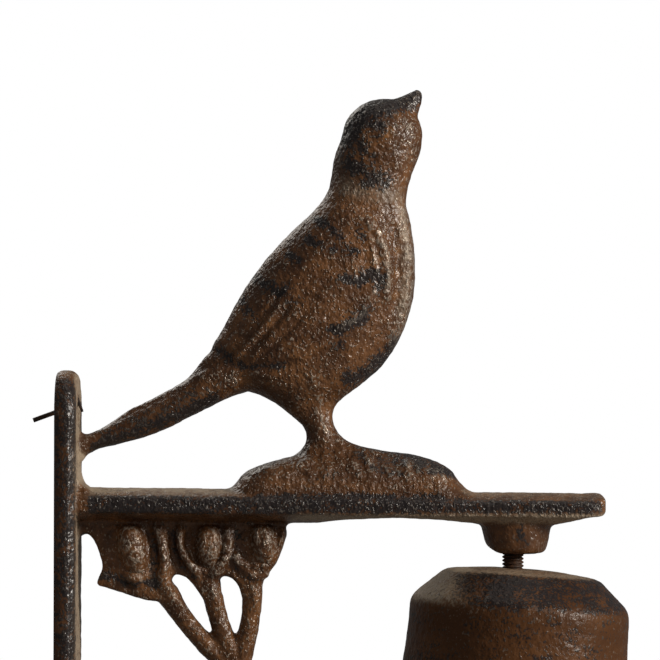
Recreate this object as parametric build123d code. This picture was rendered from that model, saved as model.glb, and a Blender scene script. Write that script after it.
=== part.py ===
from build123d import *
import math
import os

os.makedirs("parts", exist_ok=True)

# A door bell of cast iron on a wall bracket, in millimetres.
# The origin is the middle of the wall plate's back face. +X points away from the wall and +Z up.
# The casting is two-sided about Y = 0, the plane where its two mould halves met.

# Wall plate
plate_width = 32.0
plate_height = 120.0
plate_thickness = 5.8
plate_corner_radius = 13.0
plate_front_round = 2.3
plate_back_round = 1.2
screw_hole_radius = 3.0
screw_head_radius = 4.8
screw_head_depth = 2.2
screw_hole_from_end = 11.0

# Arm
arm_reach = 152.6
arm_top_height = 27.4
arm_fall = 1.8
arm_width = 26.0
arm_side_height = 3.9
arm_crown = 2.7
arm_root_depth = 9.0
arm_waist_depth = 7.3
arm_boss_depth = 8.8
arm_tip_depth = 5.9
arm_waist_start = 72.2
arm_tip_round = 3.6
arm_plan_round = 5.0

# Boss under the arm, tapped for the hanger a little out of the boss's middle
boss_from_tip = 25.3
boss_shift = 0.9
boss_bottom_height = 9.0
boss_top_radius = 9.7
boss_bottom_radius = 8.5
boss_round = 1.2
boss_bevel_height = 2.6
boss_bevel_start = 4.8

# Bird, measured from the point on the arm's top where its leg stands
bird_from_wall = 73.4
head_centre_forward = 17.2
head_centre_height = 98.8
head_radius = 11.3
head_dome_height = 10.7
head_half_thickness = 8.3
beak_root = (21.2, 105.0)
beak_middle = (26.1, 108.7)
beak_tip = (28.0, 111.4)
beak_root_radius = 5.0
beak_middle_radius = 2.5
beak_tip_radius = 1.2
wing_relief = 0.9
wing_inset = 0.7
feather_groove = 1.0

# Tail, from the plate's front to the bird's rump
tail_above_arm = 11.2
tail_root_back = 18.2
tail_root_height = 38.6

# Mound under the bird
mound_width = 23.0
mound_end_round = 0.45

# Ornament of three buds under the arm
bud_setoff = 0.8
web_thickness = 6.6
bud_half_thickness = 6.6
ridge_width = 2.0
ridge_thickness = 9.0
stem_width = 5.4
stem_thickness = 6.4
stalk_width = 6.2
stalk_thickness = 7.0
stalk_sag = 3.0
knot_radius = 4.0
stalk_foot_height = -35.0
stalk_knot = (44.0, -43.5)

# Threaded hanger with its eye, nut and washer
thread_radius = 3.0
thread_engagement = 14.0
hanger_neck = 1.5
eye_radius = 4.6
eye_wire_radius = 1.8
nut_across_flats = 10.0
nut_thickness = 5.0
washer_radius = 11.0
washer_hole_radius = 3.5
washer_thickness = 1.5

# Bell, hung loosely: out of centre on its hanger, with the side away from the wall lower
bell_gap = 4.0
bell_lean = 4.5
bell_shift = 2.7
bell_height = 70.0
bell_mouth_radius = 48.0
bell_waist_radius = 30.6
bell_crown_radius = 21.6
bell_crown_drop = 1.8
bell_shoulder_slope = 42.0
bell_shoulder_round = 4.5
bell_shoulder_depth = 12.5
bell_crown_thickness = 5.0
bell_inside_round = 3.0
bell_wall = 4.0
bell_lip = 6.0
bell_hole_radius = 6.0
bell_flare_power = 2.4

# Clapper: a wire link, a rod with an eye at each end, and a ball
link_radius = 5.0
link_wire_radius = 1.2
rod_radius = 1.6
rod_eye_radius = 3.4
ball_radius = 9.5
ball_above_mouth = 9.0
pull_eye_below_ball = 2.0

# Nail in the upper hole
nail_radius = 0.65
nail_lean = 20.0
nail_length = 13.4
nail_rise = 1.7
nail_head_radius = 2.5
nail_head_thickness = 0.6

# Running clearances
seat_gap = 0.05
wire_gap = 0.25
bore_gap = 0.05


def side_face(*edges):
    """A face in the X-Z plane from edges drawn in (x, z)."""
    return Plane.XZ * make_face(Curve() + list(edges))


def arm_top(x):
    """Height of the arm's top on the middle plane, which falls slightly to the tip."""
    share = (x - plate_thickness) / (arm_reach - plate_thickness)
    return arm_top_height - arm_fall * share


def wall_plate():
    outline = Plane.YZ * RectangleRounded(plate_width, plate_height, plate_corner_radius)
    plate = extrude(outline, amount=plate_thickness, dir=(1, 0, 0))
    front = plate.faces().sort_by(Axis.X)[-1]
    plate = fillet(front.edges(), plate_front_round)
    back = plate.faces().sort_by(Axis.X)[0]
    return fillet(back.edges(), plate_back_round)


def screw_hole(height):
    """A countersunk clearance hole through the plate."""
    drill = Cylinder(screw_hole_radius, 3 * plate_thickness)
    sink = Cone(screw_hole_radius, screw_head_radius, screw_head_depth,
                align=(Align.CENTER, Align.CENTER, Align.MAX))
    mouth = Cylinder(screw_head_radius, plate_thickness,
                     align=(Align.CENTER, Align.CENTER, Align.MIN))
    return Pos(plate_thickness, 0, height) * Rot(0, 90, 0) * (drill + sink + mouth)


def arm():
    """A crowned bar, cut to the side outline with its hollow underside and rounded tip."""
    half = arm_width / 2
    low = -arm_crown - arm_side_height
    section = make_face(Curve() + [
        ThreePointArc((-half, -arm_crown), (0, 0), (half, -arm_crown)),
        Line((half, -arm_crown), (half, low)),
        ThreePointArc((half, low), (0, -arm_root_depth), (-half, low)),
        Line((-half, low), (-half, -arm_crown)),
    ])
    root_x = plate_thickness / 2
    start = Pos(root_x, 0, arm_top(root_x)) * (Plane.YZ * section)
    along = Vector(arm_reach - root_x, 0, arm_top(arm_reach) - arm_top(root_x))
    bar = extrude(start, amount=along.length, dir=along.normalized())
    plan = Pos((arm_reach + root_x) / 2, 0, 0) * RectangleRounded(
        arm_reach - root_x, arm_width, arm_plan_round)
    plan = plan + Pos(root_x + arm_width / 2, 0, 0) * Rectangle(arm_width, arm_width)
    bar = bar & extrude(plan, amount=arm_top_height + arm_width, both=True)
    boss_x = hanger_x() + boss_shift
    boss_back = boss_x - boss_top_radius
    boss_front = boss_x + boss_top_radius
    waist_x = (arm_waist_start + boss_back) / 2
    tip_low = arm_top(arm_reach) - arm_tip_depth
    corners = [
        (root_x, arm_top(root_x) - arm_root_depth),
        (arm_waist_start, arm_top(arm_waist_start) - arm_root_depth),
        (waist_x, arm_top(waist_x) - arm_waist_depth),
        (boss_back, arm_top(boss_back) - arm_boss_depth),
        (boss_front, arm_top(boss_front) - arm_boss_depth),
        (arm_reach - arm_tip_round / 2, tip_low),
        (arm_reach, tip_low + arm_tip_round / 2),
        (arm_reach, arm_top(arm_reach) - arm_tip_round),
        (arm_reach - arm_tip_round, arm_top(arm_reach - arm_tip_round)),
        (root_x, arm_top(root_x)),
    ]
    inset = arm_tip_round * (1 - math.cos(math.radians(45)))
    tip_middle = (arm_reach - inset, arm_top(arm_reach) - inset)
    side = side_face(
        Line(corners[0], corners[1]),
        ThreePointArc(corners[1], corners[2], corners[3]),
        Polyline(*corners[3:8]),
        ThreePointArc(corners[7], tip_middle, corners[8]),
        Polyline(corners[8], corners[9], corners[0]),
    )
    return bar & extrude(side, amount=arm_width, both=True)


def boss():
    """The cup-shaped boss, a turned form that starts inside the arm, broken away on its wall side."""
    centre_x = hanger_x() + boss_shift
    top = arm_top(centre_x) - arm_crown
    profile = side_face(Polyline(
        (0, boss_bottom_height), (boss_bottom_radius, boss_bottom_height),
        (boss_top_radius, arm_top(centre_x) - arm_boss_depth),
        (boss_top_radius, top), (0, top), (0, boss_bottom_height)))
    cup = revolve(profile, Axis.Z)
    rim = cup.edges().filter_by(GeomType.CIRCLE).sort_by(Axis.Z)[0]
    cup = fillet(rim, boss_round)
    bevel = side_face(Polyline(
        (-boss_bevel_start, boss_bottom_height),
        (-boss_top_radius, boss_bottom_height + boss_bevel_height),
        (-boss_top_radius, boss_bottom_height),
        (-boss_bevel_start, boss_bottom_height)))
    return Pos(centre_x, 0, 0) * (cup - extrude(bevel, amount=boss_top_radius, both=True))


# Bird's level sections: height above the arm, rear edge, front edge, half thickness
bird_sections = [
    (4.0, -6.0, 8.0, 5.0),
    (12.6, -4.5, 7.4, 4.4),
    (18.5, -5.0, 3.8, 4.0),
    (23.5, -10.9, 4.2, 5.0),
    (29.5, -22.4, 11.4, 8.0),
    (35.5, -29.4, 17.8, 9.7),
    (44.0, -28.1, 23.0, 10.6),
    (54.0, -22.4, 26.0, 10.8),
    (64.0, -15.5, 26.6, 10.4),
    (74.5, -5.5, 25.2, 9.4),
    (81.2, 0.8, 24.1, 8.7),
    (87.0, 3.2, 25.2, 8.3),
    (92.4, 3.9, 27.3, 8.2),
    (98.8, 5.9, 28.5, 8.3),
]
# The head's dome above its widest level, in degrees of latitude
head_latitudes = (25, 45, 62, 76)


def bird_body(inset=0.0, relief=0.0):
    """Leg, body, neck and round head as one loft of level ellipses, closed at the crown."""
    foot = arm_top(bird_from_wall)
    rings = []
    for height, rear, front, half in bird_sections:
        centre = bird_from_wall + (rear + front) / 2
        ring = Ellipse((front - rear) / 2 - inset, half + relief)
        rings.append(Pos(centre, 0, foot + height) * ring)
    head_x = bird_from_wall + head_centre_forward
    head_z = foot + head_centre_height
    for latitude in head_latitudes:
        shrink = math.cos(math.radians(latitude))
        rise = head_dome_height * math.sin(math.radians(latitude))
        ring = Ellipse(head_radius * shrink - inset, head_half_thickness * shrink + relief)
        rings.append(Pos(head_x, 0, head_z + rise) * ring)
    crown = Vertex(head_x, 0, head_z + head_dome_height)
    return loft(rings + [crown])


def bird_beak():
    """The beak, lofted through three circles that follow its upward hook."""
    foot = arm_top(bird_from_wall)
    spots = [Vector(bird_from_wall + out, 0, foot + up) for out, up in (beak_root, beak_middle, beak_tip)]
    along = (spots[-1] - spots[0]).normalized()
    radii = (beak_root_radius, beak_middle_radius, beak_tip_radius)
    rings = [Plane(origin=at, x_dir=(0, 1, 0), z_dir=along) * Circle(radius)
             for at, radius in zip(spots, radii)]
    return loft(rings)


# Wing outline from the shoulder down the leading edge and back under the flight feathers
wing_edge = [(5.6, 79.0), (14.6, 73.6), (18.8, 65.0), (19.0, 57.0), (13.5, 49.5),
             (4.5, 41.5), (-8.0, 36.0), (-22.0, 32.8), (-36.0, 31.5)]
wing_back = [(-44.0, 36.0), (-30.0, 62.0), (-8.0, 84.0)]
# Long feather lines near the wing's tip and short covert marks over its middle
feather_lines = [((-26.5, 35.5), (-12.5, 50.5)), ((-19.5, 35.0), (-5.5, 48.5)),
                 ((-11.5, 36.5), (1.5, 47.0)), ((-2.5, 40.5), (7.5, 49.0))]
covert_rows = [((-8.0, 54.0), 4), ((-4.5, 60.5), 4), ((0.5, 67.0), 3)]
covert_step = (5.8, 1.2)
covert_size = 2.3
covert_bend = 3.7


def wing():
    """Both wings: a raised pad cut by feather grooves, following the body's curve."""
    outline = make_face(Curve() + [
        Spline(*wing_edge),
        Polyline(wing_edge[-1], *wing_back, wing_edge[0]),
    ])
    for start, end in feather_lines:
        outline -= groove(start, end)
    for (x, z), count in covert_rows:
        for index in range(count):
            at = Pos(x + index * covert_step[0], z + index * covert_step[1])
            mark = RadiusArc((-covert_size, covert_size), (covert_size, -covert_size), -covert_bend)
            outline -= at * trace(mark, feather_groove)
    foot = arm_top(bird_from_wall)
    outline = Pos(bird_from_wall, 0, foot) * (Plane.XZ * outline)
    return extrude(outline, amount=2 * bird_width(), both=True) & bird_body(wing_inset, wing_relief)


def bird_width():
    return 2 * max(half for _, _, _, half in bird_sections)


def groove(start, end):
    """A thin groove outline between two points."""
    return trace(Line(start, end), feather_groove)


# Tail sections: share of the way from plate to rump, rise off the chord, half height, half thickness
tail_sections = [
    (-0.02, 0.0, 4.4, 4.6),
    (0.05, -0.2, 2.6, 3.4),
    (0.12, -0.8, 2.5, 3.2),
    (0.29, -1.8, 4.0, 3.6),
    (0.47, -2.6, 4.6, 4.1),
    (0.66, -2.3, 5.3, 4.9),
    (0.86, -1.6, 6.6, 6.4),
    (1.0, -0.2, 7.5, 7.6),
]


def tail():
    foot = arm_top(bird_from_wall)
    tip = Vector(plate_thickness, 0, arm_top_height + tail_above_arm)
    root = Vector(bird_from_wall - tail_root_back, 0, foot + tail_root_height)
    along = (root - tip).normalized()
    rings = []
    for share, rise, half_height, half_thickness in tail_sections:
        at = tip + (root - tip) * share + Vector(0, 0, rise)
        ring = Plane(origin=at, x_dir=(0, 1, 0), z_dir=along) * Ellipse(half_thickness, half_height)
        rings.append(ring)
    return loft(rings)


# Mound sections: height above the arm, rear end, front end, share of the mound's width
mound_sections = [
    (-1.5, -26.6, 46.5, 1.0),
    (0.9, -24.8, 42.0, 0.97),
    (4.5, -21.6, 38.2, 0.86),
    (7.2, -15.8, 33.2, 0.70),
    (9.4, -8.0, 27.6, 0.52),
    (12.0, -2.6, 13.4, 0.34),
    (13.6, -0.6, 6.4, 0.24),
]


def mound():
    foot = arm_top(bird_from_wall)
    rings = []
    for height, rear, front, share in mound_sections:
        width = mound_width * share
        ring = RectangleRounded(front - rear, width, mound_end_round * width)
        rings.append(Pos(bird_from_wall + (rear + front) / 2, 0, foot + height) * ring)
    return loft(rings)


# Ornament outline, measured out from beside the plate's front and down from the arm's underside
def under(x, z):
    """A point of the ornament, from the corner between plate and arm."""
    return (plate_thickness + bud_setoff + x, arm_top_height - arm_root_depth + z)


# The web's lower edge, in soft stretches from the plate round each gap between the stems to the arm
web_root = (-2.0, -4.0)
web_left = [web_root, (2.4, -4.0), (4.6, -7.4), (6.2, -13.4)]
leaf_point = (4.3, -18.2)
leaf_edge = [leaf_point, (12.0, -20.4), (20.4, -22.6), (24.6, -22.4)]
first_gap = [(24.6, -22.4), (26.5, -15.2), (30.9, -18.0), (34.0, -22.0)]
second_gap = [(38.6, -22.0), (39.4, -15.8), (43.6, -18.1), (44.9, -21.4)]
web_right = [(50.4, -21.4), (51.4, -16.2), (55.0, -11.4), (56.3, -6.0), (57.2, -2.0), (60.5, 0.4)]
web_overlap = 3.0


def bud_web():
    """The flat web that carries the buds, with its pointed leaf at the lower left."""
    stretches = [[under(*point) for point in points]
                 for points in (web_left, leaf_edge, first_gap, second_gap, web_right)]
    top_left = under(web_root[0], web_overlap)
    top_right = under(web_right[-1][0], web_overlap)
    left, leaf, first, second, right = stretches
    web = side_face(
        Spline(*left),
        Line(left[-1], leaf[0]),
        Spline(*leaf),
        Spline(*first),
        Line(first[-1], second[0]),
        Spline(*second),
        Line(second[-1], right[0]),
        Spline(*right),
        Polyline(right[-1], top_right, top_left, left[0]),
    )
    return extrude(web, amount=web_thickness / 2, both=True)


# Raised middle petal of each bud: (out, down), half width, half height, lean in degrees
petals = [((14.4, -7.6), 4.6, 8.2, 14.0), ((35.8, -6.6), 3.8, 7.2, 0.0), ((51.2, -6.0), 3.6, 6.8, 8.0)]


def bud_petals():
    solids = []
    for (x, z), half_width, half_height, lean in petals:
        bulge = scale(Sphere(1), by=(half_width, bud_half_thickness, half_height))
        at = under(x, z)
        solids.append(Pos(at[0], 0, at[1]) * Rot(0, -lean, 0) * bulge)
    return solids


# Outer petal ridges that frame the middle ones
ridge_routes = [
    [(21.0, 1.0), (23.0, -5.0), (23.6, -10.0), (22.8, -15.0), (25.4, -20.0)],
    [(28.0, 1.0), (27.8, -6.0), (30.0, -11.0), (34.6, -14.6), (39.0, -12.6), (41.2, -7.0), (40.8, 1.0)],
    [(43.4, -9.0), (47.0, -12.8), (51.4, -13.4), (55.0, -9.6), (56.6, -3.0)],
    [(6.6, -15.6), (12.0, -16.6), (16.4, -16.0)],
]


def swept_bar(points, width, thickness):
    """A bar of oval section along a curve through points of the middle plane."""
    route = Plane.XZ * Spline(*points)
    start = Plane(origin=route @ 0, x_dir=(0, 1, 0), z_dir=route % 0)
    return sweep(start * Ellipse(thickness / 2, width / 2), path=route)


def bud_ridges():
    routes = [[under(*point) for point in route] for route in ridge_routes]
    return [swept_bar(route, ridge_width, ridge_thickness) for route in routes]


# Stems from under each bud to the knot where they join, and the stalk back to the plate
stem_tops = [[(20.6, -16.4), (24.9, -22.6), (31.6, -31.0)],
             [(35.8, -16.0), (37.2, -23.0), (39.6, -31.0)],
             [(47.8, -15.0), (47.8, -24.0), (46.4, -33.0)]]


def stems():
    knot = under(*stalk_knot)
    bars = []
    for points in stem_tops:
        route = [under(*point) for point in points] + [knot]
        bars.append(swept_bar(route, stem_width, stem_thickness))
    foot = (plate_thickness / 2, stalk_foot_height)
    sagged = ((knot[0] + foot[0]) / 2, (knot[1] + foot[1]) / 2 - stalk_sag)
    bars.append(swept_bar([knot, sagged, foot], stalk_width, stalk_thickness))
    joint = Pos(knot[0], 0, knot[1]) * Sphere(knot_radius)
    return bars + [joint]


def bracket_casting():
    body = wall_plate() + arm()
    body += boss()
    body += bud_web()
    for piece in bud_petals() + bud_ridges() + stems():
        body += piece
    bird = bird_body() + bird_beak()
    bird += wing()
    bird += tail()
    body += mound()
    body += bird
    hole_height = plate_height / 2 - screw_hole_from_end
    body -= screw_hole(hole_height)
    body -= screw_hole(-hole_height)
    body -= hanger_bore()
    return body


def hanger_x():
    return arm_reach - boss_from_tip


def hanger_bore():
    """The tapped hole for the hanger, blind from below."""
    bore = Cylinder(thread_radius + bore_gap, thread_engagement,
                    align=(Align.CENTER, Align.CENTER, Align.MIN))
    return Pos(hanger_x(), 0, boss_bottom_height) * bore


def ring(radius, wire_radius, facing):
    """A wire ring about the origin whose hole faces along the given axis."""
    turn = Rot(90, 0, 0) if facing == "Y" else Rot(0, 90, 0)
    return turn * Torus(radius, wire_radius)


def nut_top():
    """Height of the nut's top, just under the low side of the leaning washer."""
    stack = (bell_crown_thickness + washer_thickness + seat_gap) / math.cos(math.radians(bell_lean))
    slope = math.tan(math.radians(bell_lean))
    return boss_bottom_height - bell_gap - stack - slope * nut_across_flats / 2


def eye_centre():
    return nut_top() - nut_thickness - hanger_neck - eye_radius


def link_pivot():
    """Centre of the hanger eye's lowest wire, about which the link swings."""
    return eye_centre() - eye_radius


def link_centre():
    return link_pivot() + eye_wire_radius + link_wire_radius + wire_gap - link_radius


def clapper_pivot():
    """Centre of the link's lowest wire, about which the clapper swings."""
    return link_centre() - link_radius


def ball_centre():
    return boss_bottom_height - bell_gap - bell_height + ball_above_mouth


def hanger_eyebolt():
    top = boss_bottom_height + thread_engagement - bore_gap
    shank = Cylinder(thread_radius, top - eye_centre() - eye_radius,
                     align=(Align.CENTER, Align.CENTER, Align.MAX))
    eye = Pos(0, 0, eye_centre()) * ring(eye_radius, eye_wire_radius, "Y")
    return Pos(hanger_x(), 0, 0) * (Pos(0, 0, top) * shank + eye)


def hanger_nut():
    """A hexagon nut whose corners are turned off at the top and bottom faces."""
    hexagon = extrude(RegularPolygon(nut_across_flats / 2, 6, major_radius=False), amount=-nut_thickness)
    corner_radius = nut_across_flats / math.sqrt(3)
    turned = Cylinder(corner_radius, nut_thickness, align=(Align.CENTER, Align.CENTER, Align.MAX))
    turned = chamfer(turned.edges().filter_by(GeomType.CIRCLE), corner_radius - nut_across_flats / 2)
    bore = Cylinder(thread_radius + bore_gap, 3 * nut_thickness)
    return Pos(hanger_x(), 0, nut_top()) * ((hexagon & turned) - bore)


def bell_seat():
    """The leaning frame of bell and washer, where the hanger's axis meets the crown's top."""
    return Pos(hanger_x(), 0, boss_bottom_height - bell_gap) * Rot(0, bell_lean, 0)


def seat_washer():
    depth = bell_crown_thickness + washer_thickness / 2
    centre = depth * math.tan(math.radians(bell_lean))
    disc = Cylinder(washer_radius, washer_thickness) - Cylinder(washer_hole_radius, 2 * washer_thickness)
    return bell_seat() * Pos(centre, 0, -depth) * disc


def skirt_radius(share):
    """Outer radius of the bell from the foot of its shoulder, 0, down to its mouth, 1."""
    return bell_waist_radius + (bell_mouth_radius - bell_waist_radius) * share ** bell_flare_power


def bell():
    """The bell as a turned form: domed crown, sloping shoulder, waist, flared skirt and thick lip."""
    skirt = bell_height - bell_shoulder_depth
    shares = [0, 0.25, 0.5, 0.75, 1]
    outer = [(skirt_radius(share), -bell_shoulder_depth - skirt * share) for share in shares]
    wall = [bell_wall + (bell_lip - bell_wall) * share ** bell_flare_power for share in shares]
    inner = [(r - thick, z) for (r, z), thick in zip(outer, wall)]
    crown_edge = (bell_crown_radius, -bell_crown_drop)
    slope = math.tan(math.radians(bell_shoulder_slope))
    shoulder_foot = -bell_crown_drop - (bell_waist_radius - bell_crown_radius) * slope
    inside_corner = (bell_crown_radius - bell_wall, -bell_crown_thickness)
    profile = side_face(
        ThreePointArc((0, 0), (bell_crown_radius / 2, -bell_crown_drop / 4), crown_edge),
        FilletPolyline(crown_edge, (bell_waist_radius, shoulder_foot), outer[0], radius=bell_shoulder_round),
        Spline(*outer),
        Line(outer[-1], inner[-1]),
        Spline(*inner[::-1]),
        FilletPolyline(inner[0], inside_corner, (0, -bell_crown_thickness), radius=bell_inside_round),
        Line((0, -bell_crown_thickness), (0, 0)),
    )
    turned = revolve(profile, Axis.Z)
    rim = turned.edges().filter_by(GeomType.CIRCLE).sort_by(Axis.Z)[:2]
    turned = fillet(rim, bell_lip / 4)
    hole = Cylinder(bell_hole_radius, 4 * bell_crown_thickness)
    return bell_seat() * Pos(bell_shift, 0, 0) * (turned - hole)


def clapper_link():
    return Pos(hanger_x(), 0, link_centre()) * ring(link_radius, link_wire_radius, "X")


def clapper_rod():
    """A rod with an eye on the link and a second eye below the ball for a pull."""
    top_eye = clapper_pivot() + link_wire_radius + rod_radius + wire_gap - rod_eye_radius
    low_eye = ball_centre() - ball_radius - pull_eye_below_ball - rod_eye_radius
    top_end = top_eye - rod_eye_radius
    low_end = low_eye + rod_eye_radius
    shank = Cylinder(rod_radius, top_end - low_end, align=(Align.CENTER, Align.CENTER, Align.MIN))
    rod = Pos(0, 0, low_end) * shank
    rod += Pos(0, 0, top_eye) * ring(rod_eye_radius, rod_radius, "Y")
    rod += Pos(0, 0, low_eye) * ring(rod_eye_radius, rod_radius, "Y")
    return Pos(hanger_x(), 0, 0) * rod


def clapper_ball():
    ball = Sphere(ball_radius) - Cylinder(rod_radius + bore_gap, 3 * ball_radius)
    return Pos(hanger_x(), 0, ball_centre()) * ball


def wall_nail():
    """A thin nail pushed through the upper hole, its head against the hole's upper side."""
    head = Cylinder(nail_head_radius, nail_head_thickness, align=(Align.CENTER, Align.CENTER, Align.MIN))
    shank = Cylinder(nail_radius, nail_length, align=(Align.CENTER, Align.CENTER, Align.MAX))
    height = plate_height / 2 - screw_hole_from_end + nail_rise
    return Pos(plate_thickness, 0, height) * Rot(0, 90 - nail_lean, 0) * (head + shank)


nodes = {
    "bracket_casting": bracket_casting(),
    "wall_nail": wall_nail(),
    "hanger_eyebolt": hanger_eyebolt(),
    "hanger_nut": hanger_nut(),
    "seat_washer": seat_washer(),
    "bell": bell(),
    "clapper_link": clapper_link(),
    "clapper_rod": clapper_rod(),
    "clapper_ball": clapper_ball(),
}
for name, solid in nodes.items():
    export_step(solid, f"parts/{name}.step")
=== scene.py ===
"""Dresses a cast iron bell and its bird bracket in rusted sand castings, a cut thread and worn steel."""

import math

import bmesh
import bpy
import numpy as np
from bpy.props import FloatProperty, FloatVectorProperty, IntProperty, PointerProperty
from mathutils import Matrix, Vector, noise


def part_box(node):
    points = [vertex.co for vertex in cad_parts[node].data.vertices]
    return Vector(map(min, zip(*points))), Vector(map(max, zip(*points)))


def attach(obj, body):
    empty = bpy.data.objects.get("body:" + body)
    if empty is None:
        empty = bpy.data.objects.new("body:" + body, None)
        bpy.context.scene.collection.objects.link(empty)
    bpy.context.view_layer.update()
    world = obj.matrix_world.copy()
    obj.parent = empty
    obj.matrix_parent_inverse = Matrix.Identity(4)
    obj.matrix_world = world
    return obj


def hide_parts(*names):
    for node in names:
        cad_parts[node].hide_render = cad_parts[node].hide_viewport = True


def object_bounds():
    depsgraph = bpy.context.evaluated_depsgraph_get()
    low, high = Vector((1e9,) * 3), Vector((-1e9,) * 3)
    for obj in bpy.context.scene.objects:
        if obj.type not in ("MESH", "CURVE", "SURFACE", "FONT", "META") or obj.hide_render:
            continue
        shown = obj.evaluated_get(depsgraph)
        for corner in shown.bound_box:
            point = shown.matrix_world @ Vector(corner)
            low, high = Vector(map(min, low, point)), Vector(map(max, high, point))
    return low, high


bl_info = {
    "name": "Cast iron bird bell",
    "version": (1, 0, 0),
    "blender": (4, 5, 0),
    "location": "3D View > Sidebar > Bird Bell",
    "description": "Rusted sand castings, thread, worn steel and studio for a door bell on a bird bracket",
    "category": "Object",
}

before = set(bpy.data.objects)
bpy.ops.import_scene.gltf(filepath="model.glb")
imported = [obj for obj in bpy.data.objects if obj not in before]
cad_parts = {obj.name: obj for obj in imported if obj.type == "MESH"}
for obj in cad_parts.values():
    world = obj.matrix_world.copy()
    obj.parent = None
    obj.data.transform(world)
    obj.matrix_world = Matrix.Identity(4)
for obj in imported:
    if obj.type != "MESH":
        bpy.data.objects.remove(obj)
CAD_LOW, CAD_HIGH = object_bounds()

MM = 0.001

# The castings' own places, in millimetres out from the wall and up from the plate's middle
ARM_TOP = 27.4
ARM_HALF_WIDTH = 13.0
BOSS_FROM_WALL = 127.3
PLATE_BEAD = 3.3
PLATE_FRONT = 5.8
CROWN_FOOT = -12.0

# Where one zone of the castings gives way to the next: start and end of the change, in millimetres
ABOVE_ARM = (ARM_TOP + 1.0, ARM_TOP + 4.0)
WEB_TO_ARM = (15.5, 17.5)
PLATE_TO_ARM = (PLATE_FRONT - 0.2, PLATE_FRONT + 0.8)
MOUND_TO_LEG = (42.0, 46.0)
TAIL_TO_MOUND = (48.0, 54.0)
ARM_SIDE_LOW = (19.4, 20.6)
ARM_SIDE_HIGH = (25.5, 26.8)
BOSS_EDGE = (10.5, 12.0)

# The unevenness of sand castings: distance between lumps in millimetres, and each noise's starting place
LUMP_PITCH, LUMP_SEED = 7.0, 3.0
KNOB_PITCH, KNOB_SEED = 3.2, 15.0
SAND_SEED, FINE_SEED = 9.0, 21.0
# How many times a knob is as high as a lump, and the size of fine sand as a share of coarse
KNOB_SHARE, FINE_SHARE = 2.6, 0.6

# What each point of a casting stores for its finish: how proud it stands, then what is painted on it
LAYERS = ("crest", "black", "orange", "shine", "dust", "deep", "calm")
MOST_PAINT = 1.3

# A Mix node's sockets for colours, whose names are shared with those for numbers
MIX_FIRST, MIX_SECOND, MIX_RESULT = 6, 7, 2
WHITE = (1.0, 1.0, 1.0, 1.0)

# Where the camera stands and looks and where the lamps point, in metres
CAMERA_HEIGHT = 0.029
CAMERA_AIM = Vector((0.0762, 0.0, 0.0714))
LAMP_AIM = Vector((0.0762, 0.0, 0.04))
# Each lamp's name, place, side and the setting that holds its power
LAMPS = (
    ("top lamp", (0.15, 0.05, 0.95), 0.55, "top_power"),
    ("right lamp", (1.05, -0.46, 0.34), 0.22, "right_power"),
    ("back lamp", (-0.35, 0.75, 0.65), 0.50, "back_power"),
    ("spark lamp", (0.50, -0.85, 0.70), 0.06, "spark_power"),
)


# Mesh work on arrays of points, in millimetres


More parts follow.
